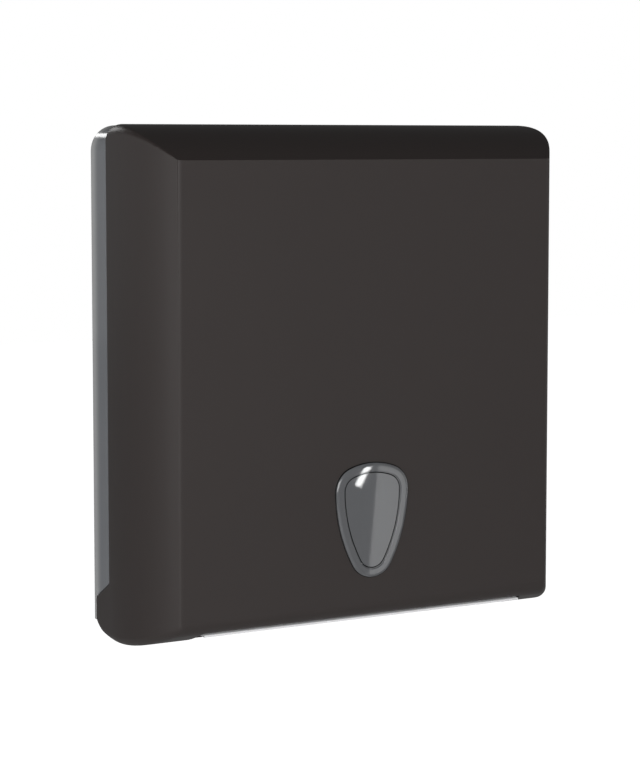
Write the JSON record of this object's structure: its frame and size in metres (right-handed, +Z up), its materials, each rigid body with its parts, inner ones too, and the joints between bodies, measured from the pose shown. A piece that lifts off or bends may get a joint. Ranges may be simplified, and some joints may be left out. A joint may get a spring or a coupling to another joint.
{
  "type": "wall paper towel dispenser",
  "caption": "Slim wall dispenser for folded paper towels, with a dark cover that hinges down at its foot, a teardrop window, a key lock in the base's top and a slot underneath.",
  "frame": {"origin": "centre of the four wall screws, on the wall plane at the back of the base", "axes": "+X across the front to the right as seen from the room, +Y into the wall, +Z up; the front faces -Y"},
  "size_m": [0.305, 0.107, 0.333],
  "materials": {
    "cover_plastic": "satin",
    "base_plastic": "gloss",
    "lens_plastic": "gloss",
    "inner_plastic": "satin",
    "bearing_plastic": "satin",
    "zinc_metal": "polished",
    "steel_metal": "satin",
    "brass_metal": "satin",
    "paper": "matte"
  },
  "bodies": {
    "base": {"back_plate": "base_plastic", "paper_tray": "inner_plastic", "tray_screws": "steel_metal", "side_guide_left": "inner_plastic", "side_guide_right": "inner_plastic", "guide_screws": "steel_metal", "hinge_pin_left": "steel_metal", "hinge_pin_right": "steel_metal", "lock_housing": "zinc_metal", "lock_washer": "steel_metal", "lock_nut": "steel_metal", "towel_stack": "paper", "lead_towel": "paper"},
    "cover": {"front_cover": "cover_plastic", "window_lens": "lens_plastic", "window_retainer": "inner_plastic", "hinge_bush_left": "bearing_plastic", "hinge_bush_right": "bearing_plastic", "lock_strike": "steel_metal", "strike_screws": "steel_metal"},
    "lock": {"lock_barrel": "zinc_metal", "lock_wafers": "brass_metal", "lock_cam": "zinc_metal", "cam_washer": "steel_metal", "cam_screw": "steel_metal"}
  },
  "joints": [
    {"name": "cover_hinge", "type": "hinge", "parent": "base", "child": "cover", "pos_m": [0, -0.018, -0.1562], "axis": [1, 0, 0], "range_deg": [0, 90]},
    {"name": "lock_turn", "type": "hinge", "parent": "base", "child": "lock", "pos_m": [0, -0.018, 0.16], "axis": [0, 0, 1], "range_deg": [0, 90]}
  ]
}
